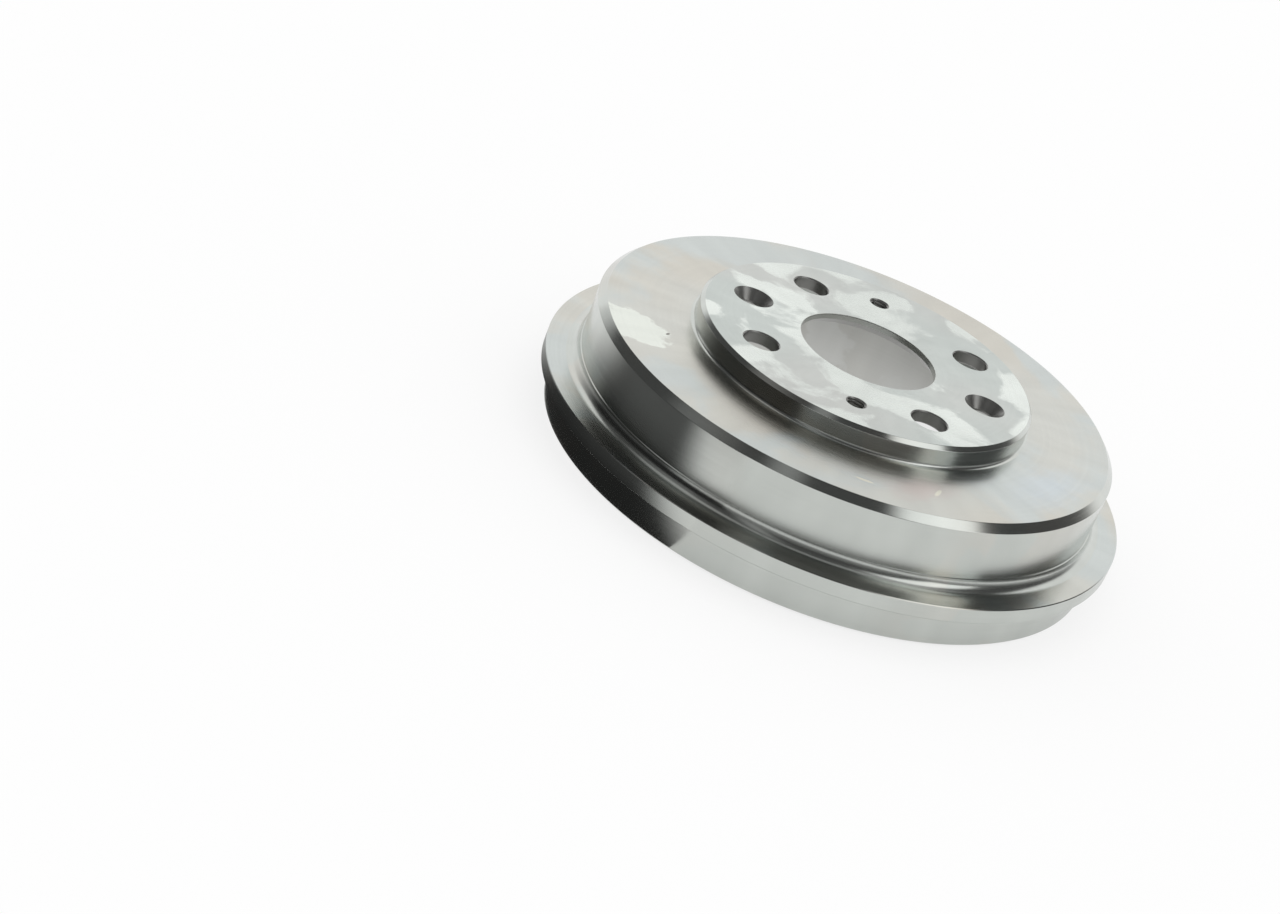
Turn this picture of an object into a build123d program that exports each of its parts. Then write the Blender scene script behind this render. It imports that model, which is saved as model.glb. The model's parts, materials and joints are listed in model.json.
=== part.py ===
from build123d import *
import os

# Rear brake drum for a four-stud wheel, cast in one piece and turned.
# Millimetres. The drum stands on the end face of its friction ring, open side down.
# The origin is on the axis in that face, +Z runs up to the wheel face, +X through a stud hole.

# Friction ring and the cast corner behind it
FRICTION_R = 100.0          # swept surface, inside diameter 200
FRICTION_WIDTH = 39.5       # ring end face to the end of the swept surface
LEAD_IN = 0.4               # chamfer at the mouth of the swept surface
RING_WALL = 4.6             # wall of the ring where it stands inside the lip
RUN_OUT = 2.2               # turned bevel where the swept surface ends
CORNER_RISE = 3.3           # height of the raw cast corner above that bevel
CORNER_RUN = 4.2            # width of the raw cast corner, from the bevel inwards

# Lip and the groove that the backing plate's rim runs in
LIP_SETBACK = 1.25          # lip end face behind the ring end face
LIP_WALL = 3.2
LIP_HEIGHT = 14.25          # lip end face to the flange
LIP_CHAMFER = 0.6
LIP_ROOT = 0.8              # bevel in the corner of lip and flange
GROOVE_WIDTH = 6.8
GROOVE_DEPTH = 7.95         # from the lip end face

# Flange round the drum
FLANGE_THICKNESS = 6.2
FLANGE_LEDGE = 5.7          # how far the flange stands out from the lip
EDGE_BREAK = 0.3            # broken corners of the rim

# Shoulder wall and web
DRUM_WALL = 7.35            # friction surface to the turned outside
SHOULDER_CHAMFER = 2.9
SHOULDER_ROOT_R = 4.35      # fillet between shoulder and flange
SHOULDER_ROOT_STEP = 0.35   # small ledge where the turned shoulder ends
WEB_THICKNESS = 4.5

# Raised hub plate and the recess that locates on the hub
PCD = 100.0
PLATE_MARGIN = 19.0         # bolt circle to the plate's side
PLATE_RISE = 9.0            # plate face above the web
PLATE_THICKNESS = 5.3
PLATE_CHAMFER = 1.5
PLATE_ROOT = 0.9            # bevel in the corner of plate and web
PLATE_WALL = 5.2            # plate's side to the recess wall
RECESS_ROOT = 0.6           # bevel in the corner of recess wall and hub seat
BORE_R = 28.0
BORE_CHAMFER = 3.0          # inside chamfer that clears the hub's corner

# Holes, all on the bolt circle
STUD_COUNT = 4
STUD_HOLE_R = 7.25
STUD_CHAMFER = 0.45
SCREW_COUNT = 2
SCREW_ANGLE = 135.0
SCREW_HOLE_R = 4.9
SCREW_SEAT_R = 8.25         # conical seat at the plate face
SCREW_SEAT_DEPTH = 4.2
SCREW_CHAMFER = 0.45
JACK_COUNT = 2
JACK_ANGLE = 55.0
JACK_HOLE_R = 3.4           # tapping size of the M8 jacking thread
JACK_CHAMFER = 0.85
CUT_OVER = 1.0              # how far a cutter passes the face it leaves

# Radii that follow
ring_r = FRICTION_R + RING_WALL
lip_in_r = ring_r + GROOVE_WIDTH
lip_r = lip_in_r + LIP_WALL
flange_r = lip_r + FLANGE_LEDGE
run_out_r = FRICTION_R - RUN_OUT
shoulder_r = FRICTION_R + DRUM_WALL
plate_r = PCD / 2 + PLATE_MARGIN
recess_r = plate_r - PLATE_WALL

# Heights that follow
groove_z = LIP_SETBACK + GROOVE_DEPTH
flange_low_z = LIP_SETBACK + LIP_HEIGHT
flange_top_z = flange_low_z + FLANGE_THICKNESS
run_out_z = FRICTION_WIDTH + RUN_OUT
web_low_z = run_out_z + CORNER_RISE
web_top_z = web_low_z + WEB_THICKNESS
plate_top_z = web_top_z + PLATE_RISE
recess_z = plate_top_z - PLATE_THICKNESS


def ring_and_groove():
    """End face of the ring, its outside and the groove, ending on the lip's end face."""
    return [
        Polyline(
            (FRICTION_R + LEAD_IN, 0),
            (ring_r, 0),
            (ring_r, groove_z),
            (lip_in_r, groove_z),
            (lip_in_r, LIP_SETBACK),
        )
    ]


def lip_outside():
    """Lip from its inner corner to the flange's open-side face."""
    return [
        Polyline(
            (lip_in_r, LIP_SETBACK),
            (lip_r - LIP_CHAMFER, LIP_SETBACK),
            (lip_r, LIP_SETBACK + LIP_CHAMFER),
            (lip_r, flange_low_z - LIP_ROOT),
            (lip_r + LIP_ROOT, flange_low_z),
        )
    ]


def flange_rim():
    """Flange from the lip's root to the shoulder's root."""
    return [
        Polyline(
            (lip_r + LIP_ROOT, flange_low_z),
            (flange_r - EDGE_BREAK, flange_low_z),
            (flange_r, flange_low_z + EDGE_BREAK),
            (flange_r, flange_top_z - EDGE_BREAK),
            (flange_r - EDGE_BREAK, flange_top_z),
            (shoulder_r + SHOULDER_ROOT_STEP + SHOULDER_ROOT_R, flange_top_z),
        )
    ]


def shoulder_outside():
    """Shoulder's root, the turned wall and its chamfer, ending at the plate's root on the web."""
    root_r = shoulder_r + SHOULDER_ROOT_STEP
    root_z = flange_top_z + SHOULDER_ROOT_R
    root = TangentArc((root_r + SHOULDER_ROOT_R, flange_top_z), (root_r, root_z), tangent=(-1, 0))
    wall = Polyline(
        (root_r, root_z),
        (shoulder_r, root_z + SHOULDER_ROOT_STEP),
        (shoulder_r, web_top_z - SHOULDER_CHAMFER),
        (shoulder_r - SHOULDER_CHAMFER, web_top_z),
        (plate_r + PLATE_ROOT, web_top_z),
    )
    return [root, wall]


def plate_outside():
    """Raised hub plate: root, side, chamfer, wheel face and the wall of the centre bore."""
    return [
        Polyline(
            (plate_r + PLATE_ROOT, web_top_z),
            (plate_r, web_top_z + PLATE_ROOT),
            (plate_r, plate_top_z - PLATE_CHAMFER),
            (plate_r - PLATE_CHAMFER, plate_top_z),
            (BORE_R, plate_top_z),
            (BORE_R, recess_z + BORE_CHAMFER),
        )
    ]


def hub_recess():
    """Bore's inside chamfer, the hub seat and the recess wall, ending on the web's raw face."""
    return [
        Polyline(
            (BORE_R, recess_z + BORE_CHAMFER),
            (BORE_R + BORE_CHAMFER, recess_z),
            (recess_r - RECESS_ROOT, recess_z),
            (recess_r, recess_z - RECESS_ROOT),
            (recess_r, web_low_z),
        )
    ]


def brake_space():
    """Raw web face and corner, the turned run-out and the swept friction surface."""
    return [
        Polyline(
            (recess_r, web_low_z),
            (run_out_r - CORNER_RUN, web_low_z),
            (run_out_r, run_out_z),
            (FRICTION_R, FRICTION_WIDTH),
            (FRICTION_R, LEAD_IN),
            (FRICTION_R + LEAD_IN, 0),
        )
    ]


def turned_casting():
    """The whole section as one closed outline, turned about the drum's axis."""
    outline = ring_and_groove() + lip_outside() + flange_rim() + shoulder_outside()
    outline += plate_outside() + hub_recess() + brake_space()
    section = make_face(Curve() + outline)
    return revolve(Plane.XZ * section, Axis.Z)


def plate_cutter(radius, chamfer, seat_r, seat_depth):
    """Round cutter through the hub plate: inner chamfer, straight hole and an outer cone."""
    spread = CUT_OVER * (seat_r - radius) / seat_depth
    profile = Polyline(
        (0, recess_z - CUT_OVER),
        (radius + chamfer + CUT_OVER, recess_z - CUT_OVER),
        (radius, recess_z + chamfer),
        (radius, plate_top_z - seat_depth),
        (seat_r + spread, plate_top_z + CUT_OVER),
        (0, plate_top_z + CUT_OVER),
        close=True,
    )
    return revolve(Plane.XZ * make_face(profile), Axis.Z)


def on_bolt_circle(cutter, count, start_angle):
    """The cutter repeated round the bolt circle."""
    return [place * cutter for place in PolarLocations(PCD / 2, count, start_angle)]


def stud_holes():
    """Plain holes for the wheel studs, broken at both faces."""
    cutter = plate_cutter(STUD_HOLE_R, STUD_CHAMFER, STUD_HOLE_R + STUD_CHAMFER, STUD_CHAMFER)
    return on_bolt_circle(cutter, STUD_COUNT, 0)


def screw_holes():
    """Conical seats for the screws that hold the drum to the hub."""
    cutter = plate_cutter(SCREW_HOLE_R, SCREW_CHAMFER, SCREW_SEAT_R, SCREW_SEAT_DEPTH)
    return on_bolt_circle(cutter, SCREW_COUNT, SCREW_ANGLE)


def jack_holes():
    """Tapped holes that screws push through to jack the drum off its hub."""
    cutter = plate_cutter(JACK_HOLE_R, JACK_CHAMFER, JACK_HOLE_R + JACK_CHAMFER, JACK_CHAMFER)
    return on_bolt_circle(cutter, JACK_COUNT, JACK_ANGLE)


def brake_drum():
    return turned_casting() - (stud_holes() + screw_holes() + jack_holes())


os.makedirs("parts", exist_ok=True)
export_step(brake_drum(), "parts/brake_drum.step")
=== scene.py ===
"""Looks of the turned brake drum: its fine mesh, the finish that each tool left, and the studio.

The drum is cast in one piece and turned, so it is one object here too. Its half section is drawn
as a wire, spun round the axis and drilled, and each stretch of the section carries the finish of
the cut that made it. Blender's unit is the metre; the sizes of the section are in millimetres and
are turned into metres where a mesh is made. The drum stands on z = 0, open side down, its axis is
Z, and +X runs through a stud hole.
"""

import json
import logging
import math
from collections.abc import Iterator, Sequence
from dataclasses import dataclass, replace
from enum import Enum

import bpy
import numpy as np
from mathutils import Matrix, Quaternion, Vector


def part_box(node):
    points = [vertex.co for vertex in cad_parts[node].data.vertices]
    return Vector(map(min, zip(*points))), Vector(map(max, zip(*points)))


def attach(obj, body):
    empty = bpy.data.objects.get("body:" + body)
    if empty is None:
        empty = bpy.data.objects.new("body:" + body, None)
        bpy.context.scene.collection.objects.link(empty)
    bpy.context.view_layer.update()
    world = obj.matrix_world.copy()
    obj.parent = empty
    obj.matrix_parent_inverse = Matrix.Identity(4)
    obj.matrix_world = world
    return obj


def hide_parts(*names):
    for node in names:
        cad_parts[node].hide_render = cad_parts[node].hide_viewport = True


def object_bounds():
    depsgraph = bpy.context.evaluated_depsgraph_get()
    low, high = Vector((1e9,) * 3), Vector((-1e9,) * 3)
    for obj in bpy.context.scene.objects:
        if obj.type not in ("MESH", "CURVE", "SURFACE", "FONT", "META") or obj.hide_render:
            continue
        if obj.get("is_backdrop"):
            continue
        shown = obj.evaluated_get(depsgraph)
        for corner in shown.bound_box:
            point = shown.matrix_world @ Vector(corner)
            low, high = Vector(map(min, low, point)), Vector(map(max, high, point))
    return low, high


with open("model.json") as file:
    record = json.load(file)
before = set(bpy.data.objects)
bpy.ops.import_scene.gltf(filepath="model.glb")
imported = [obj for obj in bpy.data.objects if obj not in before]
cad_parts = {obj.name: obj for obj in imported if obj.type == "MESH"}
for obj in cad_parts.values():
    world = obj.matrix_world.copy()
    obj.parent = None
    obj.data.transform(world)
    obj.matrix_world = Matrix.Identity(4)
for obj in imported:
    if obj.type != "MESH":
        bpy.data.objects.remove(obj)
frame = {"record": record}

LOG = logging.getLogger("drum_scene")
NODE = "brake_drum"
BODY = "root"
AXIS_ATTRIBUTE = "turned_about"
UP = (0.0, 0.0, 1.0)
WHITE = (1.0, 1.0, 1.0)
# Metres in a millimetre
MM = 0.001
# Points nearer than this are one point, in millimetres
MERGE = 0.001
# Width of the narrow faces beside a rounded corner, in millimetres
GUARD = 0.15
# A stretch shorter than the root of this, in millimetres, is taken as a point
TINY = 1e-9

Span = tuple[float, float]
Triple = tuple[float, float, float]
Colour = Triple
Socket = bpy.types.NodeSocket


class Cut(Enum):
    """How a stretch of the surface was made; the value is the name of its material."""

    FACED = "faced_iron"
    PLATE = "stained_plate_face"
    TURNED = "turned_iron"
    BRIGHT = "bright_cut_iron"
    SWEPT = "swept_friction_iron"
    RAW = "raw_cast_iron"
    DRILLED = "drilled_iron"


class Graph:
    """Adds nodes to one node tree and joins them."""

    def __init__(self, tree: bpy.types.NodeTree) -> None:
        """Starts with an empty tree.

        Args:
            tree: The tree of a material or of the world.
        """
        self.tree = tree
        tree.nodes.clear()

    def add(self, kind: str, settings: dict | None = None, **inputs: object) -> bpy.types.Node:
        """Adds a node.

        Args:
            kind: The node's type without its ShaderNode prefix.
            settings: Properties of the node by name.
            inputs: Socket names, with underscores for spaces, or i0, i1 for a socket by number.

        Returns:
            The new node.
        """
        node = self.tree.nodes.new("ShaderNode" + kind)
        for name, value in (settings or {}).items():
            setattr(node, name, value)
        for name, value in inputs.items():
            key = int(name[1:]) if name[0] == "i" and name[1:].isdigit() else name.replace("_", " ")
            if isinstance(value, Socket):
                self.tree.links.new(value, node.inputs[key])
            else:
                node.inputs[key].default_value = value
        return node

    def maths(self, operation: str, a: object, b: object = 0.0, clamp: bool = False) -> Socket:
        """Returns the result of a Math node on a and b."""
        return self.add("Math", {"operation": operation, "use_clamp": clamp}, i0=a, i1=b).outputs[0]

    def vector(self, operation: str, a: object, b: object = (0.0, 0.0, 0.0)) -> bpy.types.Node:
        """Returns a Vector Math node on a and b."""
        return self.add("VectorMath", {"operation": operation}, i0=a, i1=b)

    def smooth(self, value: Socket, low: float, high: float) -> Socket:
        """Returns a smooth step of value from 0 at low to 1 at high."""
        settings = {"interpolation_type": "SMOOTHSTEP"}
        return self.add("MapRange", settings, Value=value, From_Min=low, From_Max=high).outputs[0]

    def ramp(self, value: Socket, at_zero: float, at_one: float) -> Socket:
        """Returns value stretched from 0 and 1 to the two given values."""
        return self.add("MapRange", Value=value, To_Min=at_zero, To_Max=at_one).outputs[0]

    def blend(self, share: object, a: object, b: object) -> Socket:
        """Returns colour a with the given share of colour b."""
        return self.add("Mix", {"data_type": "RGBA"}, i0=share, i6=a, i7=b).outputs[2]

    def mix(self, share: object, a: object, b: object) -> Socket:
        """Returns number a with the given share of number b."""
        return self.add("Mix", {"data_type": "FLOAT"}, i0=share, i2=a, i3=b).outputs[0]

    def noise(self, place: Socket, scale: float, detail: float = 2.0, warp: float = 0.0) -> Socket:
        """Adds a three-dimensional noise.

        Args:
            place: Where the noise is read.
            scale: Waves in a unit of place.
            detail: Octaves of finer noise.
            warp: How far the noise distorts itself.

        Returns:
            The noise, from 0 to 1.
        """
        node = self.add("TexNoise", Vector=place, Scale=scale, Detail=detail, Distortion=warp)
        return node.outputs["Fac"]


def rgba(colour: Colour) -> tuple[float, float, float, float]:
    """Returns a colour with full alpha."""
    return (*colour, 1.0)


def new_material(name: str) -> tuple[bpy.types.Material, Graph]:
    """Makes a material without nodes.

    Args:
        name: The material's name.

    Returns:
        The material and its empty graph.
    """
    material = bpy.data.materials.new(name)
    material.use_nodes = True
    return material, Graph(material.node_tree)


def bearing(azimuth: float, elevation: float) -> Vector:
    """Returns the unit vector that points at an azimuth and an elevation, both in degrees."""
    az, el = math.radians(azimuth), math.radians(elevation)
    return Vector((math.cos(el) * math.cos(az), math.cos(el) * math.sin(az), math.sin(el)))


def deselect_all() -> None:
    """Deselects every object, because an operator acts on all that is selected."""
    for item in bpy.context.selected_objects:
        item.select_set(False)


def activate(item: bpy.types.Object) -> None:
    """Makes one object the only selected and the active one.

    Args:
        item: The object.
    """
    deselect_all()
    item.select_set(True)
    bpy.context.view_layer.objects.active = item


@dataclass(frozen=True)
class Patch:
    """An oval mark on a flat face, at a place in the part's plan: a stain, a tint or a scratch."""

    centre: Span
    radii: Span
    turn: float
    colour: Colour
    softness: float

    def lay(self, graph: Graph, place: Socket, ragged: Socket, under: Socket) -> Socket:
        """Lays this mark over the colours below it.

        Args:
            graph: The material's nodes.
            place: The shaded point, in metres.
            ragged: Noise that frays the mark's border.
            under: The colours below it.

        Returns:
            The colours with the mark.
        """
        middle = (self.centre[0] * MM, self.centre[1] * MM, 0.0)
        flat = graph.vector("MULTIPLY", place, (1.0, 1.0, 0.0)).outputs[0]
        shift = graph.vector("SUBTRACT", flat, middle).outputs[0]
        spin = (0.0, 0.0, -math.radians(self.turn))
        size = (1.0 / (self.radii[0] * MM), 1.0 / (self.radii[1] * MM), 1.0)
        turned = graph.add("VectorRotate", {"rotation_type": "EULER_XYZ"}, Vector=shift, Rotation=spin)
        reach = graph.vector("MULTIPLY", turned.outputs[0], size).outputs[0]
        reach = graph.vector("LENGTH", reach).outputs["Value"]
        frayed = graph.maths("ADD", reach, ragged)
        share = graph.smooth(frayed, 1.0 + self.softness, 1.0 - self.softness)
        return graph.blend(share, under, rgba(self.colour))


@dataclass(frozen=True)
class TurnedFinish:
    """Bare iron as a cutting tool leaves it: brushed round an axis, ringed and stained.

    The axis is the drum's own, or a hole's for what was drilled, and is read from an attribute.
    Scales are in waves a metre and the height of the rings is in metres. A finish without a
    stain has its own untinted colour there.
    """

    cut: Cut
    colour: Colour = (0.575, 0.60, 0.57)
    stain: Colour | None = None
    stain_scale: float = 30.0
    stain_edge: Span = (0.5, 0.54)
    stain_detail: float = 7.0
    stain_warp: float = 0.35
    stain_roughness: float = 0.0
    tint: Colour = (0.60, 0.60, 0.56)
    tint_scale: float = 14.0
    tint_edge: Span = (0.38, 0.66)
    tint_offset: Triple = (0.37, 0.11, 0.53)
    fray_scale: float = 170.0
    fray_reach: float = 1.3
    roughness: float = 0.21
    brushing: float = 0.75
    brushing_turn: float = 0.25
    ring_scale: float = 900.0
    ring_drift: float = 0.012
    ring_depth: float = 0.06
    ring_height: float = 0.0001
    ring_roughness: float = 0.04
    ring_shade: Span = (0.95, 1.04)
    chatter_scale: float = 9.0
    chatter_rise: float = 0.2
    chatter_shade: Span = (0.88, 1.08)
    patches: tuple[Patch, ...] = ()

    def rings(self, graph: Graph, place: Socket) -> Socket:
        """Adds noise that varies across the tool marks and hardly along them.

        Args:
            graph: The material's nodes.
            place: The shaded point, measured from the axis it was turned about.

        Returns:
            The tool marks, from 0 to 1.
        """
        parts = graph.add("SeparateXYZ", Vector=place)
        flat = graph.add("CombineXYZ", X=parts.outputs[0], Y=parts.outputs[1]).outputs[0]
        radius = graph.vector("LENGTH", flat).outputs["Value"]
        across = graph.add("CombineXYZ", X=radius, Y=parts.outputs[2]).outputs[0]
        drift = graph.add("VectorMath", {"operation": "SCALE"}, i0=place, Scale=self.ring_drift)
        path = graph.vector("ADD", across, drift.outputs[0]).outputs[0]
        return graph.noise(path, self.ring_scale, detail=3.0)

    def stains(self, graph: Graph, place: Socket) -> tuple[Socket, Socket]:
        """Adds the soft tints, the stains like a map and the single patches.

        Args:
            graph: The material's nodes.
            place: The shaded point, measured from the axis it was turned about.

        Returns:
            The colour and the share of stain in it.
        """
        shift = graph.vector("ADD", place, self.tint_offset).outputs[0]
        soft = graph.smooth(graph.noise(shift, self.tint_scale, detail=1.0), *self.tint_edge)
        base = graph.blend(soft, rgba(self.colour), rgba(self.tint))
        map_like = graph.noise(place, self.stain_scale, self.stain_detail, self.stain_warp)
        share = graph.smooth(map_like, *self.stain_edge)
        coloured = graph.blend(share, base, rgba(self.stain or self.colour))
        ragged = graph.noise(place, self.fray_scale, detail=6.0)
        ragged = graph.maths("MULTIPLY", graph.maths("SUBTRACT", ragged, 0.5), self.fray_reach)
        for patch in self.patches:
            coloured = patch.lay(graph, place, ragged, coloured)
        return coloured, share

    def shade(self, graph: Graph, place: Socket, marks: Socket) -> Socket:
        """Adds the light and dark of the tool marks and of the tool's chatter round the axis.

        Args:
            graph: The material's nodes.
            place: The shaded point, measured from the axis it was turned about.
            marks: The tool marks from rings().

        Returns:
            The same factor for red, green and blue.
        """
        around = graph.vector("NORMALIZE", place).outputs[0]
        around = graph.vector("MULTIPLY", around, (1.0, 1.0, self.chatter_rise)).outputs[0]
        chatter = graph.noise(around, self.chatter_scale)
        swell = graph.ramp(chatter, *self.chatter_shade)
        factor = graph.maths("MULTIPLY", graph.ramp(marks, *self.ring_shade), swell)
        return graph.add("CombineXYZ", X=factor, Y=factor, Z=factor).outputs[0]

    def build(self) -> bpy.types.Material:
        """Makes the material.

        Returns:
            The material, named for its cut.
        """
        material, graph = new_material(self.cut.value)
        seen = graph.add("TexCoord").outputs["Object"]
        axis = graph.add("Attribute", {"attribute_name": AXIS_ATTRIBUTE}).outputs["Vector"]
        place = graph.vector("SUBTRACT", seen, axis).outputs[0]
        marks = self.rings(graph, place)
        coloured, stain = self.stains(graph, place)
        colour = graph.vector("MULTIPLY", coloured, self.shade(graph, place, marks)).outputs[0]
        low, high = self.roughness - self.ring_roughness, self.roughness + self.ring_roughness
        stained = graph.maths("MULTIPLY", stain, self.stain_roughness)
        rough = graph.maths("ADD", graph.ramp(marks, low, high), stained)
        grooves = graph.add("Bump", Strength=self.ring_depth, Distance=self.ring_height, Height=marks)
        along = graph.vector("CROSS_PRODUCT", UP, place).outputs[0]
        shader = graph.add(
            "BsdfPrincipled",
            Base_Color=colour,
            Metallic=1.0,
            Roughness=rough,
            Anisotropic=self.brushing,
            Anisotropic_Rotation=self.brushing_turn,
            Normal=grooves.outputs[0],
            Tangent=graph.vector("NORMALIZE", along).outputs[0],
        )
        graph.add("OutputMaterial", Surface=shader.outputs[0])
        return material


@dataclass(frozen=True)
class RawFinish:
    """Iron as it left the sand mould: nearly black, rough and grainy."""

    cut: Cut = Cut.RAW
    colour: Colour = (0.022, 0.023, 0.025)
    bloom: Colour = (0.075, 0.076, 0.078)
    bloom_edge: Span = (0.2, 0.42)
    metallic: float = 0.35
    roughness: float = 0.72
    roughness_spread: float = 0.12
    grain_scale: float = 900.0
    lump_scale: float = 160.0
    lump_weight: float = 2.0
    depth: float = 0.5
    height: float = 0.0004

    def build(self) -> bpy.types.Material:
        """Makes the material.

        Returns:
            The material, named for its cut.
        """
        material, graph = new_material(self.cut.value)
        place = graph.add("TexCoord").outputs["Object"]
        grain = graph.noise(place, self.grain_scale, detail=4.0)
        lumps = graph.noise(place, self.lump_scale, detail=3.0)
        share = graph.smooth(graph.maths("MULTIPLY", grain, lumps), *self.bloom_edge)
        colour = graph.blend(share, rgba(self.colour), rgba(self.bloom))
        relief = graph.maths("ADD", grain, graph.maths("MULTIPLY", lumps, self.lump_weight))
        bump = graph.add("Bump", Strength=self.depth, Distance=self.height, Height=relief)
        low, high = self.roughness - self.roughness_spread, self.roughness + self.roughness_spread
        shader = graph.add(
            "BsdfPrincipled",
            Base_Color=colour,
            Metallic=self.metallic,
            Roughness=graph.ramp(lumps, low, high),
            Normal=bump.outputs[0],
        )
        graph.add("OutputMaterial", Surface=shader.outputs[0])
        return material


@dataclass(frozen=True)
class Corner:
    """A corner of the half section, with the finish of the stretch that follows it."""

    r: float
    z: float
    cut: Cut
    fillet: float = 0.0
    steps: int = 6

    def turn(self, before: "Corner", after: "Corner") -> list[Span]:
        """Rounds this corner, if it has a fillet.

        Args:
            before: The corner that the section comes from.
            after: The corner that the section goes to.

        Returns:
            The points of the arc in order, or the corner alone.
        """
        here = Vector((self.r, self.z))
        if not self.fillet:
            return [tuple(here)]
        back = (Vector((before.r, before.z)) - here).normalized()
        on = (Vector((after.r, after.z)) - here).normalized()
        half = back.angle(on) / 2
        reach = self.fillet / math.tan(half)
        centre = here + (back + on).normalized() * self.fillet / math.sin(half)
        first, last = here + back * reach - centre, here + on * reach - centre
        swing = first.angle_signed(last)
        points = []
        for step in range(self.steps + 1):
            angle = -swing * step / self.steps
            spun = Vector((
                first.x * math.cos(angle) - first.y * math.sin(angle),
                first.x * math.sin(angle) + first.y * math.cos(angle),
            ))
            points.append(tuple(centre + spun))
        return points


@dataclass(frozen=True)
class DrumSizes:
    """The section's sizes in millimetres. Radii and heights are worked out from the frame's box."""

    rim_r: float
    height: float
    bore_r: float
    pitch_r: float
    stud_r: float
    screw_r: float
    jack_r: float
    swept_r: float
    flange_ledge: float = 5.7
    lip_wall: float = 3.2
    groove_width: float = 6.8
    groove_depth: float = 7.95
    lip_setback: float = 1.25
    lip_height: float = 14.25
    flange_thickness: float = 6.2
    drum_wall: float = 7.35
    shoulder_chamfer: float = 2.9
    shoulder_root: float = 4.35
    shoulder_step: float = 0.35
    lip_chamfer: float = 0.6
    lip_root: float = 1.4
    lip_step: float = 0.3
    plate_rise: float = 9.0
    plate_margin: float = 19.0
    plate_chamfer: float = 1.5
    plate_root: float = 1.5
    plate_thickness: float = 5.3
    plate_wall: float = 5.2
    recess_root: float = 1.0
    bore_chamfer: float = 3.0
    web_thickness: float = 4.5
    swept_width: float = 39.5
    run_out: float = 2.2
    cast_corner: float = 6.0
    lead_in: float = 0.4
    edge_break: float = 0.3
    crisp_edge: float = 0.12
    groove_root: float = 0.4
    corner_steps: int = 6
    web_steps: int = 24

    @classmethod
    def from_frame(cls, record: dict) -> "DrumSizes":
        """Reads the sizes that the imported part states.

        Args:
            record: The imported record, for the mounts' radii.

        Returns:
            The sizes, with the ones that the record doesn't state as they stand here.
        """
        low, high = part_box(NODE)
        dims = {mount["name"]: mount["dims"] for mount in record["mounts"]}
        return cls(
            rim_r=high.x / MM,
            height=high.z / MM,
            bore_r=dims["centre_bore"]["r_mm"],
            pitch_r=dims["stud_holes"]["pcd_mm"] / 2,
            stud_r=dims["stud_holes"]["hole_r_mm"],
            screw_r=dims["drum_screws"]["hole_r_mm"],
            jack_r=dims["jack_thread_a"]["r_mm"],
            swept_r=dims["friction_surface"]["r_mm"],
        )

    @property
    def recess_z(self) -> float:
        """Height of the hub seat."""
        return self.height - self.plate_thickness

    @property
    def web_z(self) -> float:
        """Height of the web's turned face."""
        return self.height - self.plate_rise

    @property
    def raw_z(self) -> float:
        """Height of the web's raw face."""
        return self.web_z - self.web_thickness

    @property
    def plate_r(self) -> float:
        """Radius of the raised plate."""
        return self.pitch_r + self.plate_margin

    @property
    def lip_r(self) -> float:
        """Outside radius of the lip."""
        return self.rim_r - self.flange_ledge

    @property
    def flange_z(self) -> float:
        """Height of the flange's lower face."""
        return self.lip_setback + self.lip_height

    def open_side(self) -> list[Corner]:
        """Draws the ring, the groove and the lip.

        Returns:
            The corners in order.
        """
        inner = self.lip_r - self.lip_wall
        ring = inner - self.groove_width
        floor = self.lip_setback + self.groove_depth
        step = self.lip_r + self.lip_step
        return [
            Corner(self.swept_r + self.lead_in, 0.0, Cut.TURNED),
            Corner(ring, 0.0, Cut.TURNED, self.edge_break, steps=2),
            Corner(ring, floor, Cut.TURNED, self.groove_root, steps=3),
            Corner(inner, floor, Cut.TURNED, self.groove_root, steps=3),
            Corner(inner, self.lip_setback, Cut.TURNED, self.edge_break, steps=2),
            Corner(self.lip_r - self.lip_chamfer, self.lip_setback, Cut.BRIGHT),
            Corner(self.lip_r, self.lip_setback + self.lip_chamfer, Cut.TURNED),
            Corner(self.lip_r, self.flange_z - self.lip_root - self.lip_step, Cut.BRIGHT),
            Corner(step, self.flange_z - self.lip_root, Cut.BRIGHT),
            Corner(step, self.flange_z, Cut.TURNED, self.lip_root, steps=6),
        ]

    def outside(self) -> list[Corner]:
        """Draws the outside from the flange up to the web.

        Returns:
            The corners in order.
        """
        top = self.flange_z + self.flange_thickness
        shoulder = self.swept_r + self.drum_wall
        root = shoulder + self.shoulder_step
        ledge = top + self.shoulder_root
        return [
            Corner(self.rim_r, self.flange_z, Cut.TURNED, self.edge_break, steps=1),
            Corner(self.rim_r, top, Cut.FACED, self.edge_break, steps=1),
            Corner(root, top, Cut.TURNED, self.shoulder_root, steps=12),
            Corner(root, ledge + self.crisp_edge, Cut.BRIGHT),
            Corner(shoulder, ledge + self.shoulder_step, Cut.TURNED),
            Corner(shoulder, self.web_z - self.shoulder_chamfer, Cut.BRIGHT, self.crisp_edge, steps=2),
            Corner(shoulder - self.shoulder_chamfer, self.web_z, Cut.FACED, self.crisp_edge, steps=2),
        ]

    def plate(self) -> list[Corner]:
        """Draws the raised plate and the bore.

        Returns:
            The corners in order.
        """
        edge = self.plate_r - self.plate_chamfer
        return [
            Corner(self.plate_r, self.web_z, Cut.TURNED, self.plate_root, steps=8),
            Corner(self.plate_r, self.height - self.plate_chamfer, Cut.BRIGHT, self.crisp_edge, steps=2),
            Corner(edge, self.height, Cut.PLATE, self.crisp_edge, steps=2),
            Corner(self.bore_r, self.height, Cut.TURNED, self.edge_break, steps=2),
            Corner(self.bore_r, self.recess_z + self.bore_chamfer, Cut.DRILLED),
            Corner(self.bore_r + self.bore_chamfer, self.recess_z, Cut.FACED),
        ]

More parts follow.
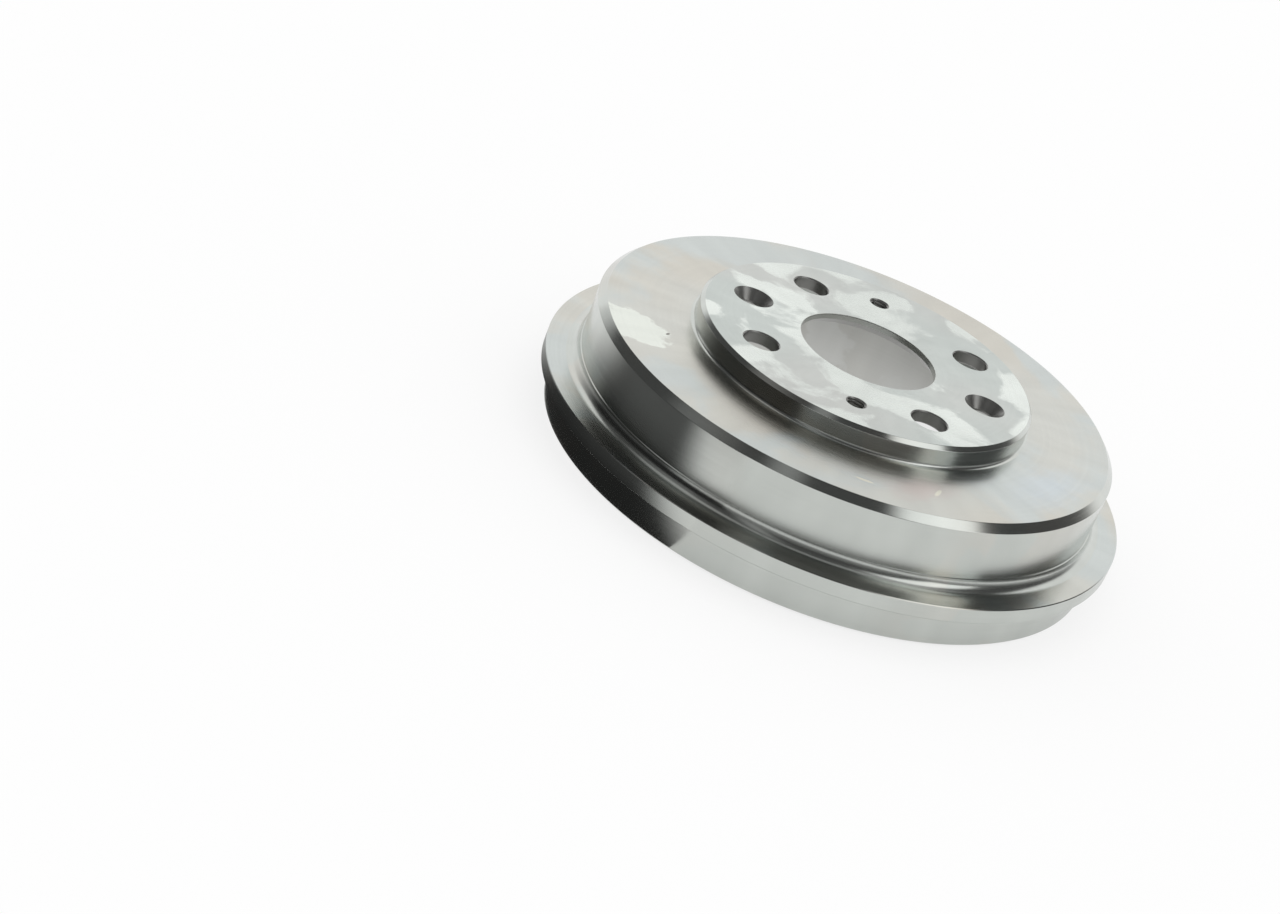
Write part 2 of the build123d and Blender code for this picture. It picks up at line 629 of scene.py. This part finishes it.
    def inside(self) -> list[Corner]:
        """Draws the hub recess, the raw web and the friction surface.

        Returns:
            The corners in order.
        """
        recess = self.plate_r - self.plate_wall
        neck = self.swept_r - self.run_out
        raw_end = self.swept_width + self.run_out
        rise = self.raw_z - raw_end
        reach = math.sqrt(self.cast_corner**2 - (self.cast_corner - rise) ** 2)
        centre = neck - reach
        arc = []
        for step in range(1, self.corner_steps):
            along = step / self.corner_steps * math.asin(reach / self.cast_corner)
            r = centre + self.cast_corner * math.sin(along)
            z = self.raw_z - self.cast_corner * (1 - math.cos(along))
            arc.append(Corner(r, z, Cut.RAW))
        web = [
            Corner(recess + (centre - recess) * step / self.web_steps, self.raw_z, Cut.RAW)
            for step in range(self.web_steps + 1)
        ]
        return [
            Corner(recess, self.recess_z, Cut.TURNED, self.recess_root, steps=4),
            *web,
            *arc,
            Corner(neck, raw_end, Cut.BRIGHT),
            Corner(self.swept_r, self.swept_width, Cut.SWEPT),
            Corner(self.swept_r, self.lead_in, Cut.BRIGHT),
        ]

    def section(self) -> list[Corner]:
        """Returns the whole closed section, once round."""
        return [*self.open_side(), *self.outside(), *self.plate(), *self.inside()]


@dataclass(frozen=True)
class Stretch:
    """A straight piece of the drawn section, from one point to the next."""

    start: Span
    end: Span
    cut: Cut


def straight(points: Sequence[Span], cut: Cut) -> list[Stretch]:
    """Returns the stretches between points in order, all made by one cut."""
    return [Stretch(start, end, cut) for start, end in zip(points, points[1:])]


def toward(start: Span, end: Corner, length: float) -> Span:
    """Returns the point at the given distance from start on the way to a corner."""
    here = Vector(start)
    return tuple(here + (Vector((end.r, end.z)) - here).normalized() * length)


def drawn(corners: list[Corner]) -> list[Stretch]:
    """Rounds the corners of a closed section and cuts it into short straight stretches.

    A rounded corner takes the finish of the stretch that it leads to, and gets a narrow guard on
    each side, so that smooth shading doesn't spread over the flat faces beside it.

    Args:
        corners: The corners in order.

    Returns:
        The stretches in order.
    """
    points: list[tuple[Span, Cut]] = []
    count = len(corners)
    for index, corner in enumerate(corners):
        before, after = corners[index - 1], corners[(index + 1) % count]
        turn = corner.turn(before, after)
        if corner.fillet:
            points.append((toward(turn[0], before, GUARD), before.cut))
            points += [(point, corner.cut) for point in turn]
            points.append((toward(turn[-1], after, GUARD), corner.cut))
        else:
            points.append((turn[0], corner.cut))
    ends = points[1:] + points[:1]
    return [Stretch(here[0], there[0], here[1]) for here, there in zip(points, ends)]


@dataclass(frozen=True)
class Lathe:
    """Draws half sections as wires and spins them round Z, with so many steps to the turn."""

    steps: int

    def wire(self, name: str, stretches: list[Stretch], closed: bool = True) -> bpy.types.Object:
        """Draws a section in the plane y = 0 by extruding one vertex along it.

        Args:
            name: The object's name.
            stretches: The section, in millimetres.
            closed: Whether the last stretch ends on the first point.

        Returns:
            The object, in edit mode with all of its mesh selected.
        """
        deselect_all()
        bpy.ops.mesh.primitive_plane_add(size=MM)
        item = bpy.context.active_object
        item.name = item.data.name = name
        bpy.ops.object.mode_set(mode="EDIT")
        bpy.ops.mesh.select_all(action="SELECT")
        bpy.ops.mesh.merge(type="CENTER")
        first = stretches[0].start
        here = Vector((first[0] * MM, 0.0, first[1] * MM))
        bpy.ops.transform.translate(value=here)
        for stretch in stretches[:-1] if closed else stretches:
            there = Vector((stretch.end[0] * MM, 0.0, stretch.end[1] * MM))
            bpy.ops.mesh.extrude_region_move(TRANSFORM_OT_translate={"value": there - here})
            here = there
        if closed:
            self.close()
        bpy.ops.mesh.select_all(action="SELECT")
        return item

    @staticmethod
    def close() -> None:
        """Joins the first and the last point of the wire in edit mode with an edge."""
        bpy.ops.object.mode_set(mode="OBJECT")
        mesh = bpy.context.active_object.data
        uses = np.zeros(len(mesh.vertices), int)
        for edge in mesh.edges:
            uses[list(edge.vertices)] += 1
        for vertex in mesh.vertices:
            vertex.select = bool(uses[vertex.index] == 1)
        bpy.ops.object.mode_set(mode="EDIT")
        bpy.ops.mesh.edge_face_add()

    def spin(self, item: bpy.types.Object, angle: float = math.tau) -> None:
        """Spins the selected wire round Z, merges the doubles and turns the faces outward.

        Args:
            item: The wire's object, in edit mode.
            angle: How far it is spun, in radians.
        """
        bpy.ops.mesh.spin(
            steps=self.steps, angle=angle, center=(0, 0, 0), axis=(0, 0, 1), use_auto_merge=True
        )
        bpy.ops.mesh.select_all(action="SELECT")
        bpy.ops.mesh.remove_doubles(threshold=MERGE * MM)
        bpy.ops.mesh.normals_make_consistent(inside=False)
        bpy.ops.object.mode_set(mode="OBJECT")
        activate(item)


@dataclass(frozen=True)
class Hole:
    """A hole through the hub plate on the bolt circle, with the shape of its two mouths.

    A tapped hole has a thread_r, the radius at the bottom of its thread. The four rises are the
    heights on one turn where the groove opens, is deep, stops being deep and is closed again.
    """

    name: str
    angle: float
    radius: float
    mouth_r: float
    mouth_depth: float
    inner_chamfer: float
    thread_r: float = 0.0
    pitch: float = 1.25
    rises: tuple[float, float, float, float] = (0.03, 0.52, 0.73, 1.22)
    core_gap: float = 0.2
    steps: int = 96
    thread_steps: int = 72

    def centre(self, pitch_r: float) -> Vector:
        """Returns the place of the hole's axis, in metres."""
        return bearing(self.angle, 0.0) * pitch_r * MM

    def cutter(self, sizes: DrumSizes, over: float = 1.0) -> bpy.types.Object:
        """Makes the closed solid that this hole takes away.

        Args:
            sizes: The drum's sizes.
            over: How far the cutter passes each face, in millimetres.

        Returns:
            The solid, in place.
        """
        low, high = sizes.recess_z, sizes.height
        spread = over * (self.mouth_r - self.radius) / self.mouth_depth
        points = (
            (0.0, low - over),
            (self.radius + self.inner_chamfer + over, low - over),
            (self.radius, low + self.inner_chamfer),
            (self.radius, high - self.mouth_depth),
            (self.mouth_r + spread, high + over),
            (0.0, high + over),
        )
        lathe = Lathe(self.steps)
        item = lathe.wire(self.name + "_cutter", straight(points, Cut.DRILLED), closed=False)
        lathe.spin(item)
        self.set_down(item, sizes)
        return item

    def thread_cutter(self, sizes: DrumSizes, over: float = 1.4) -> bpy.types.Object:
        """Makes a closed threaded rod that cuts this hole's thread.

        One turn of the groove is drawn as a wire, wound up with a Screw modifier and cut off
        flat at both ends. Its core is thinner than the hole, so that no two walls coincide.

        Args:
            sizes: The drum's sizes.
            over: How far the rod passes each face, in millimetres.

        Returns:
            The rod, in place.
        """
        low, high = sizes.recess_z - over, sizes.height + over
        turns = math.ceil((high - low) / self.pitch) + 2
        start = low - self.pitch
        core = self.radius - self.core_gap
        radii = (core, core, self.thread_r, self.thread_r, core, core)
        points = [(r, start + rise) for r, rise in zip(radii, (0.0, *self.rises, self.pitch))]
        groove = straight(points, Cut.DRILLED)
        item = Lathe(self.thread_steps).wire(self.name + "_tap", groove, closed=False)
        bpy.ops.object.mode_set(mode="OBJECT")
        activate(item)
        screw = item.modifiers.new("thread", "SCREW")
        screw.axis = "Z"
        screw.screw_offset = self.pitch * MM
        screw.iterations = turns
        screw.steps = self.thread_steps
        screw.render_steps = self.thread_steps
        screw.use_merge_vertices = True
        screw.merge_threshold = MERGE * MM
        bpy.ops.object.modifier_apply(modifier=screw.name)
        bpy.ops.object.mode_set(mode="EDIT")
        bpy.ops.mesh.select_all(action="SELECT")
        bpy.ops.mesh.remove_doubles(threshold=MERGE * MM)
        for height, below in ((low, True), (high, False)):
            bpy.ops.mesh.select_all(action="SELECT")
            bpy.ops.mesh.bisect(
                plane_co=(0, 0, height * MM),
                plane_no=(0, 0, 1),
                use_fill=True,
                clear_inner=below,
                clear_outer=not below,
            )
        bpy.ops.mesh.select_all(action="SELECT")
        bpy.ops.mesh.normals_make_consistent(inside=False)
        bpy.ops.object.mode_set(mode="OBJECT")
        self.set_down(item, sizes)
        return item

    def set_down(self, item: bpy.types.Object, sizes: DrumSizes) -> None:
        """Moves a cutter from the drum's axis to the hole's and leaves its object at the origin.

        Args:
            item: The cutter.
            sizes: The drum's sizes.
        """
        activate(item)
        bpy.ops.transform.translate(value=self.centre(sizes.pitch_r))
        bpy.ops.object.transform_apply(location=True, rotation=True, scale=True)


@dataclass(frozen=True)
class HolePattern:
    """The eight holes round the bore: four for studs, two screw seats and two that are tapped."""

    sizes: DrumSizes
    stud_count: int = 4
    stud_chamfer: float = 0.45
    screw_count: int = 2
    screw_angle: float = 135.0
    seat_r: float = 8.25
    seat_depth: float = 4.2
    jack_count: int = 2
    jack_angle: float = 55.0
    jack_chamfer: float = 0.85
    thread_depth: float = 0.6

    def holes(self) -> Iterator[Hole]:
        """Goes through the stud holes, the screw seats and the tapped holes.

        Yields:
            Each hole of the pattern.
        """
        stud_r, screw_r, jack_r = self.sizes.stud_r, self.sizes.screw_r, self.sizes.jack_r
        small, wide, deep = self.stud_chamfer, self.jack_chamfer, self.thread_depth
        stud = Hole("stud", 0.0, stud_r, stud_r + small, small, small)
        screw = Hole("screw", self.screw_angle, screw_r, self.seat_r, self.seat_depth, small)
        jack = Hole("jack", self.jack_angle, jack_r, jack_r + wide, wide, wide, jack_r + deep)
        kinds = ((stud, self.stud_count), (screw, self.screw_count), (jack, self.jack_count))
        for first, count in kinds:
            for number in range(count):
                angle = first.angle + 360.0 / count * number
                yield replace(first, name=f"{first.name}_{number}", angle=angle)


@dataclass
class Casting:
    """The drum itself: spun, grained where it is raw, drilled, finished and dressed."""

    sizes: DrumSizes
    pattern: HolePattern
    steps: int = 360
    grain_height: float = 0.35
    grain_size: float = 2.6
    grain_octaves: int = 3
    grain_border: float = 0.2
    mouth_border: float = 0.2
    smooth_angle: float = 32.0
    flat_normal: float = 0.99

    def build(self) -> bpy.types.Object:
        """Makes the drum, without setting it in the frame.

        Returns:
            The finished piece.
        """
        stretches = drawn(self.sizes.section())
        lathe = Lathe(self.steps)
        item = lathe.wire("turned_drum", stretches)
        lathe.spin(item)
        self.roughen(item)
        self.drill(item)
        self.finish(item, stretches)
        bpy.ops.object.shade_smooth_by_angle(angle=math.radians(self.smooth_angle))
        return item

    def roughen(self, item: bpy.types.Object) -> None:
        """Raises sand-mould lumps on the raw web, away from its turned borders.

        Args:
            item: The spun drum.
        """
        activate(item)
        border, sizes = self.grain_border, self.sizes
        neck = sizes.swept_r - sizes.run_out - border
        recess = sizes.plate_r - sizes.plate_wall + border
        low = sizes.swept_width + sizes.run_out + border
        raw = []
        for vertex in item.data.vertices:
            r = math.hypot(vertex.co.x, vertex.co.y) / MM
            z = vertex.co.z / MM
            if recess < r < neck and low < z < sizes.raw_z + border:
                raw.append(vertex.index)
        group = item.vertex_groups.new(name="raw_cast")
        group.add(raw, 1.0, "REPLACE")
        grain = bpy.data.textures.new("sand_grain", "CLOUDS")
        grain.noise_scale = self.grain_size * MM
        grain.noise_depth = self.grain_octaves
        lumps = item.modifiers.new("sand", "DISPLACE")
        lumps.texture = grain
        lumps.texture_coords = "LOCAL"
        lumps.vertex_group = group.name
        lumps.strength = self.grain_height * MM
        lumps.mid_level = 0.5
        bpy.ops.object.modifier_apply(modifier=lumps.name)
        item.vertex_groups.clear()

    def cut(self, item: bpy.types.Object, cutters: list[bpy.types.Object]) -> None:
        """Takes the cutters out of the drum.

        Args:
            item: The drum.
            cutters: Closed solids that don't meet each other; they are removed afterwards.
        """
        activate(cutters[0])
        for other in cutters:
            other.select_set(True)
        bpy.ops.object.join()
        tool = bpy.context.active_object
        activate(item)
        take = item.modifiers.new("cut", "BOOLEAN")
        take.operation = "DIFFERENCE"
        take.solver = "EXACT"
        take.object = tool
        bpy.ops.object.modifier_apply(modifier=take.name)
        bpy.data.objects.remove(tool)

    def drill(self, item: bpy.types.Object) -> None:
        """Drills the eight holes and taps the two for jacking screws.

        Args:
            item: The drum.
        """
        holes = list(self.pattern.holes())
        self.cut(item, [hole.cutter(self.sizes) for hole in holes])
        tapped = [hole for hole in holes if hole.thread_r]
        self.cut(item, [hole.thread_cutter(self.sizes) for hole in tapped])

    def finish(self, item: bpy.types.Object, stretches: list[Stretch]) -> None:
        """Gives every face its material and the axis it was turned about.

        Args:
            item: The drilled drum.
            stretches: The section that it was spun from.
        """
        order = list(Cut)
        mesh = item.data
        mesh.materials.clear()
        for finish in FINISHES:
            mesh.materials.append(finish.build())
        slots = {finish.cut: number for number, finish in enumerate(FINISHES)}
        starts = np.array([stretch.start for stretch in stretches])
        ends = np.array([stretch.end for stretch in stretches])
        cuts = np.array([order.index(stretch.cut) for stretch in stretches])
        centres, normals = face_vectors(mesh, "center") / MM, face_vectors(mesh, "normal")
        places = np.stack([np.hypot(centres[:, 0], centres[:, 1]), centres[:, 2]], 1)
        made_by = cuts[nearest_stretch(places, starts, ends)]
        axes = np.zeros((len(centres), 3), np.float32)
        upright = np.abs(normals[:, 2]) > self.flat_normal
        in_plate = centres[:, 2] > (self.sizes.raw_z + self.sizes.recess_z) / 2
        for hole in self.pattern.holes():
            centre = hole.centre(self.sizes.pitch_r)
            away = np.hypot(centres[:, 0] - centre.x / MM, centres[:, 1] - centre.y / MM)
            inside = (away < hole.mouth_r + self.mouth_border) & in_plate & ~upright
            made_by[inside] = order.index(Cut.DRILLED)
            axes[inside] = centre
        slot_of = np.array([slots[cut] for cut in order])
        mesh.polygons.foreach_set("material_index", slot_of[made_by].astype(np.int32))
        about = mesh.attributes.new(AXIS_ATTRIBUTE, "FLOAT_VECTOR", "FACE")
        about.data.foreach_set("vector", axes.ravel())
        mesh.update()

    def dress(self, item: bpy.types.Object) -> None:
        """Sets the piece in the frame in the place of its plain solid.

        Args:
            item: The finished drum.
        """
        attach(item, BODY)
        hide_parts(NODE)


def face_vectors(mesh: bpy.types.Mesh, name: str) -> np.ndarray:
    """Reads one vector of every face.

    Args:
        mesh: The mesh.
        name: The faces' property, center or normal.

    Returns:
        One row for each face.
    """
    values = np.empty(len(mesh.polygons) * 3)
    mesh.polygons.foreach_get(name, values)
    return values.reshape(-1, 3)


def nearest_stretch(places: np.ndarray, starts: np.ndarray, ends: np.ndarray) -> np.ndarray:
    """Finds the stretch that lies nearest to each place of the half section.

    Args:
        places: Radius and height of each place.
        starts: Where each stretch starts.
        ends: Where each stretch ends.

    Returns:
        The number of a stretch for each place.
    """
    nearest = np.zeros(len(places), int)
    best = np.full(len(places), np.inf)
    for number, (start, end) in enumerate(zip(starts, ends)):
        along = end - start
        share = np.clip((places - start) @ along / max(along @ along, TINY), 0.0, 1.0)
        away = np.hypot(*(places - start - share[:, None] * along).T)
        closer = away < best
        nearest[closer] = number
        best[closer] = away[closer]
    return nearest


PALE_STAIN = (0.77, 0.80, 0.74)
PINK_TINT = (0.62, 0.565, 0.53)
BLUE_TINT = (0.57, 0.62, 0.64)
FRESH_SCRATCH = (0.74, 0.72, 0.62)
NICK_SHADE = (0.20, 0.19, 0.17)
WEB_MARKS = (
    Patch(centre=(-94.0, 19.0), radii=(15.0, 11.5), turn=-64.0, colour=PALE_STAIN, softness=0.12),
    Patch(centre=(-20.0, -84.0), radii=(13.0, 6.0), turn=12.0, colour=PINK_TINT, softness=0.9),
    Patch(centre=(44.0, -78.0), radii=(17.0, 8.0), turn=28.0, colour=BLUE_TINT, softness=0.9),
    Patch(centre=(-13.5, -86.5), radii=(3.4, 0.9), turn=40.0, colour=FRESH_SCRATCH, softness=0.25),
    Patch(centre=(-43.8, -80.6), radii=(3.6, 0.7), turn=-32.0, colour=FRESH_SCRATCH, softness=0.25),
    Patch(centre=(-81.4, 14.6), radii=(1.1, 0.5), turn=30.0, colour=NICK_SHADE, softness=0.25),
)
TURNED = TurnedFinish(Cut.TURNED)
FINISHES = (
    replace(
        TURNED,
        cut=Cut.FACED,
        colour=(0.60, 0.605, 0.565),
        tint=(0.60, 0.58, 0.52),
        stain=(0.57, 0.605, 0.59),
        stain_scale=17.0,
        stain_edge=(0.50, 0.62),
        patches=WEB_MARKS,
    ),
    replace(
        TURNED,
        cut=Cut.PLATE,
        colour=(0.525, 0.565, 0.54),
        tint=(0.555, 0.57, 0.545),
        stain=(0.77, 0.81, 0.77),
        stain_scale=31.0,
        stain_edge=(0.48, 0.56),
        stain_roughness=0.06,
    ),
    TURNED,
    replace(TURNED, cut=Cut.BRIGHT, roughness=0.16, ring_depth=0.03),
    replace(
        TURNED,
        cut=Cut.SWEPT,
        colour=(0.53, 0.535, 0.515),
        tint=(0.48, 0.48, 0.455),
        roughness=0.3,
        ring_depth=0.12,
    ),
    RawFinish(),
    replace(
        TURNED,
        cut=Cut.DRILLED,
        roughness=0.42,
        brushing=0.5,
        colour=(0.40, 0.40, 0.385),
        tint=(0.34, 0.34, 0.325),
        ring_depth=0.3,
    ),
)


@dataclass(frozen=True)
class Glow:
    """A soft-edged patch of the sky round the drum: a lamp's cloth, or the dark of the room.

    The first five are in degrees. In_front is the cosine over which directions behind fade out.
    """

    azimuth: float
    elevation: float
    width: float
    height: float
    edge: float
    strength: float
    in_front: Span = (0.0, 0.1)

    def cover(self, graph: Graph, ray: Socket) -> Socket:
        """Measures how far a direction lies in the patch.

        Args:
            graph: The world's nodes.
            ray: The direction that is looked in.

        Returns:
            The share, from 0 outside to 1 inside.
        """
        ahead = bearing(self.azimuth, self.elevation)
        aside = bearing(self.azimuth + 90.0, 0.0)
        above = ahead.cross(aside)
        depth = graph.vector("DOT_PRODUCT", ray, ahead).outputs["Value"]
        share = graph.smooth(depth, *self.in_front)
        for across, size in ((aside, self.width), (above, self.height)):
            offset = graph.vector("DOT_PRODUCT", ray, across).outputs["Value"]
            slope = graph.maths("DIVIDE", graph.maths("ABSOLUTE", offset), depth)
            outer = math.tan(math.radians(size / 2 + self.edge / 2))
            inner = math.tan(math.radians(max(size / 2 - self.edge / 2, 0.0)))
            inside = graph.maths("SUBTRACT", 1.0, graph.smooth(slope, inner, outer))
            share = graph.maths("MULTIPLY", share, inside)
        return share


@dataclass(frozen=True)
class Sky:
    """White cloth low round the drum, darker above it, with soft lamps in the dark."""

    cloth: float = 0.42
    ceiling: float = 0.075
    fade: Span = (4.0, 20.0)
    glows: tuple[Glow, ...] = (
        Glow(azimuth=54.0, elevation=18.0, width=88.0, height=66.0, edge=8.0, strength=1.04),
        Glow(azimuth=-56.0, elevation=43.0, width=23.0, height=42.0, edge=3.0, strength=1.4),
        Glow(azimuth=-146.0, elevation=45.0, width=10.0, height=50.0, edge=8.0, strength=0.35),
        Glow(azimuth=165.0, elevation=50.0, width=24.0, height=18.0, edge=10.0, strength=0.19),
        Glow(azimuth=55.0, elevation=80.0, width=60.0, height=28.0, edge=10.0, strength=0.5),
        Glow(azimuth=-125.0, elevation=20.0, width=80.0, height=22.0, edge=12.0, strength=0.2),
    )

    def build(self) -> bpy.types.World:
        """Makes the world: plain white to the camera and to matt surfaces, the studio to metal.

        Returns:
            The world.
        """
        world = bpy.data.worlds.new("studio_sky")
        world.use_nodes = True
        world.cycles.sampling_method = "NONE"
        graph = Graph(world.node_tree)
        ray = graph.add("TexCoord").outputs["Generated"]
        height = graph.add("SeparateXYZ", Vector=ray).outputs[2]
        low, high = (math.sin(math.radians(angle)) for angle in self.fade)
        light = graph.ramp(graph.smooth(height, low, high), self.cloth, self.ceiling)
        for glow in self.glows:
            light = graph.mix(glow.cover(graph, ray), light, glow.strength)
        path = graph.add("LightPath").outputs
        seen = graph.mix(path["Is Glossy Ray"], 1.0, light)
        back = graph.add("Background", Color=rgba(WHITE), Strength=seen)
        graph.add("OutputWorld", Surface=back.outputs[0])
        return world


@dataclass(frozen=True)
class Studio:
    """A white floor and a black flag beside the drum, with painted light and shade that only the metal
    reflects.

    The floor glows white to the camera, and the metal sees it darker. Inside the drum the metal sees
    three parts of it, painted as light and shade: a painted pool of light on the side that the light
    falls on, painted half light elsewhere, and painted shade on one flank. The flag is a painted
    reflection. Its lengths are in metres, the flag's section is in millimetres and the flag's turns are
    in degrees.
    """

    floor_size: float = 12.0
    floor_gap: float = 0.0002
    floor_albedo: Colour = (0.9, 0.9, 0.9)
    floor_glow: float = 0.76
    paper_strength: float = 1.02
    mirrored_glow: float = 0.45
    inner_radius: float = 0.099
    inner_border: float = 0.004
    inner_glow: float = 1.0
    inner_dusk: float = 0.6
    inner_dark: float = 0.06
    light_from: Triple = (0.574, 0.819, 0.0)
    lit_from: Span = (0.045, 0.075)
    dark_from: Span = (0.04, 0.07)
    flag_start: float = -149.0
    flag_sweep: float = 86.0
    flag_section: tuple[Span, ...] = ((115.5, 0.6), (185.0, 0.6), (200.0, 105.0))
    flag_steps: int = 24

    def floor_seen_by_metal(self, graph: Graph, path: bpy.types.bpy_prop_collection) -> Socket:
        """Adds the floor's brightness for reflections, with painted light and painted shade inside the
        drum.

        Args:
            graph: The floor's nodes.
            path: The outputs of a Light Path node.

        Returns:
            The brightness as a share of white.
        """
        place = graph.add("TexCoord").outputs["Object"]
        ahead = graph.vector("DOT_PRODUCT", place, self.light_from).outputs["Value"]
        aside = graph.vector("CROSS_PRODUCT", self.light_from, place).outputs[0]
        aside = graph.vector("DOT_PRODUCT", aside, UP).outputs["Value"]
        # Painted light and shade inside the drum: a painted pool of light toward light_from, painted
        # half light elsewhere and a painted dark flank.
        level = graph.ramp(graph.smooth(ahead, *self.lit_from), self.inner_dusk, self.inner_glow)
        flank = graph.maths("SUBTRACT", 1.0, graph.smooth(aside, *self.dark_from))
        level = graph.maths("MULTIPLY", level, graph.maths("MAXIMUM", flank, self.inner_dark))
        radius = graph.vector("LENGTH", place).outputs["Value"]
        inside = graph.smooth(radius, self.inner_radius + self.inner_border, self.inner_radius)
        from_above = graph.maths("SUBTRACT", 1.0, path["Transparent Depth"], clamp=True)
        return graph.mix(graph.maths("MULTIPLY", inside, from_above), self.mirrored_glow, level)

    def floor(self) -> None:
        """Makes the floor: white from above, with the drum's soft shadow, and clear from below."""
        deselect_all()
        bpy.ops.mesh.primitive_plane_add(size=self.floor_size, location=(0.0, 0.0, -self.floor_gap))
        floor = bpy.context.active_object
        floor.name = "studio_floor"
        material, graph = new_material("floor_paper")
        path = graph.add("LightPath").outputs
        seen = graph.maths("MULTIPLY", path["Is Camera Ray"], self.floor_glow)
        level = self.floor_seen_by_metal(graph, path)
        mirrored = graph.maths("MULTIPLY", path["Is Glossy Ray"], level)
        share = graph.maths("MAXIMUM", seen, mirrored)
        paper = graph.add("BsdfDiffuse", Color=rgba(self.floor_albedo)).outputs[0]
        glow = graph.add("Emission", Color=rgba(WHITE), Strength=self.paper_strength).outputs[0]
        mixed = graph.add("MixShader", i0=share, i1=paper, i2=glow).outputs[0]
        below = graph.add("NewGeometry").outputs["Backfacing"]
        clear = graph.add("BsdfTransparent").outputs[0]
        mixed = graph.add("MixShader", i0=below, i1=mixed, i2=clear).outputs[0]
        graph.add("OutputMaterial", Surface=mixed)
        floor.data.materials.append(material)
        floor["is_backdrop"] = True

    def flag(self) -> None:
        """Makes a low black flag, a painted reflection that only shows in the drum's polished left side.
        """
        lathe = Lathe(self.flag_steps)
        flag = lathe.wire("black_flag", straight(self.flag_section, Cut.RAW), closed=False)
        lathe.spin(flag, math.radians(self.flag_sweep))
        flag.rotation_euler.z = math.radians(self.flag_start)
        bpy.ops.object.transform_apply(location=False, rotation=True, scale=False)
        flag.data.materials.append(FlagPaintedReflection().build())
        # Painted reflection: the flag is hidden from the camera, from matt surfaces and from shadows.
        flag.visible_camera = False
        flag.visible_diffuse = False
        flag.visible_shadow = False
        flag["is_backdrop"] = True


@dataclass(frozen=True)
class FlagPaintedReflection:
    """The black flag's painted reflection: emitted shade, black beside the drum, greyer outward and
    glowing white at both ends.

    Lengths are in metres. The front end is a slanted border, which the turned lip shows, and
    the back end leans with the flag's height.
    """

    black: float = 0.02
    grey: float = 0.13
    grey_from: Span = (0.14, 0.19)
    front_radius: float = 0.129
    front_slant: float = 0.4
    front_from: Span = (0.05, 0.088)
    low_from: Span = (0.002, 0.03)
    back_lean: float = 0.5
    back_from: Span = (0.055, 0.14)

    def build(self) -> bpy.types.Material:
        """Makes the material.

        Returns:
            The material.
        """
        material, graph = new_material("flag_shade")
        place = graph.add("TexCoord").outputs["Object"]
        parts = graph.add("SeparateXYZ", Vector=place).outputs
        radius = graph.vector("LENGTH", place).outputs["Value"]
        slant = graph.maths("SUBTRACT", radius, self.front_radius)
        slant = graph.maths("MULTIPLY", slant, self.front_slant)
        front = graph.smooth(graph.maths("SUBTRACT", slant, parts[1]), *self.front_from)
        low = graph.maths("SUBTRACT", 1.0, graph.smooth(parts[2], *self.low_from))
        front = graph.maths("MULTIPLY", front, low)
        lean = graph.maths("MULTIPLY", parts[2], self.back_lean)
        back = graph.smooth(graph.maths("SUBTRACT", parts[1], lean), *self.back_from)
        shade = graph.maths("MULTIPLY", graph.smooth(radius, *self.grey_from), low)
        shade = graph.maths("ADD", graph.maths("MULTIPLY", shade, self.grey), self.black)
        shade = graph.maths("ADD", shade, graph.maths("ADD", front, back), clamp=True)
        # Painted reflection: the flag emits this shade, and only the metal sees it.
        glow = graph.add("Emission", Strength=shade).outputs[0]
        graph.add("OutputMaterial", Surface=glow)
        return material


@dataclass(frozen=True)
class PhotoCamera:
    """The camera that sees the drum as the photograph does.

    It looks down on the drum from the given side, and is rolled because the drum leans in the
    picture. The aim is the point of the plane at the drum's mid-height in the picture's middle.
    The distance and the aim are in millimetres, the focal length and the width in pixels.
    """

    azimuth: float = -124.98
    elevation: float = 26.88
    roll: float = 21.44
    distance: float = 974.78
    aim: Triple = (-112.72, -42.75, 29.25)
    focal: float = 2691.8
    width: int = 1280
    sensor: float = 36.0
    nearest: float = 0.05

    def build(self) -> None:
        """Makes the camera and sets it as the scene's own."""
        data = bpy.data.cameras.new("photo_camera")
        data.sensor_width = self.sensor
        data.lens = self.focal / self.width * self.sensor
        data.clip_start = self.nearest
        camera = bpy.data.objects.new("photo_camera", data)
        bpy.context.scene.collection.objects.link(camera)
        back = bearing(self.azimuth, self.elevation)
        camera.location = (Vector(self.aim) + back * self.distance) * MM
        level = (-back).to_track_quat("-Z", "Y")
        camera.rotation_mode = "QUATERNION"
        camera.rotation_quaternion = level @ Quaternion(UP, math.radians(self.roll))
        bpy.context.scene.camera = camera


def write_sizes(solid: tuple[Vector, Vector]) -> None:
    """Puts the box of the solids and that of the finished looks beside each other as lists.

    Args:
        solid: The box from straight after loading.
    """
    boxes = {"cad": solid, "visual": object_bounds()}
    plain = {name: [list(corner) for corner in box] for name, box in boxes.items()}


def main() -> None:
    """Builds the studio and the drum, in order."""
    logging.basicConfig(level=logging.INFO, format="%(name)s: %(message)s")
    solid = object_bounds()
    bpy.context.scene.view_settings.view_transform = "Standard"
    PhotoCamera().build()
    bpy.context.scene.world = Sky().build()
    studio = Studio()
    studio.floor()
    studio.flag()
    sizes = DrumSizes.from_frame(frame["record"])
    casting = Casting(sizes, HolePattern(sizes))
    drum = casting.build()
    casting.dress(drum)
    LOG.info("%s: %d faces", drum.name, len(drum.data.polygons))
    write_sizes(solid)


if __name__ == "__main__":
    main()
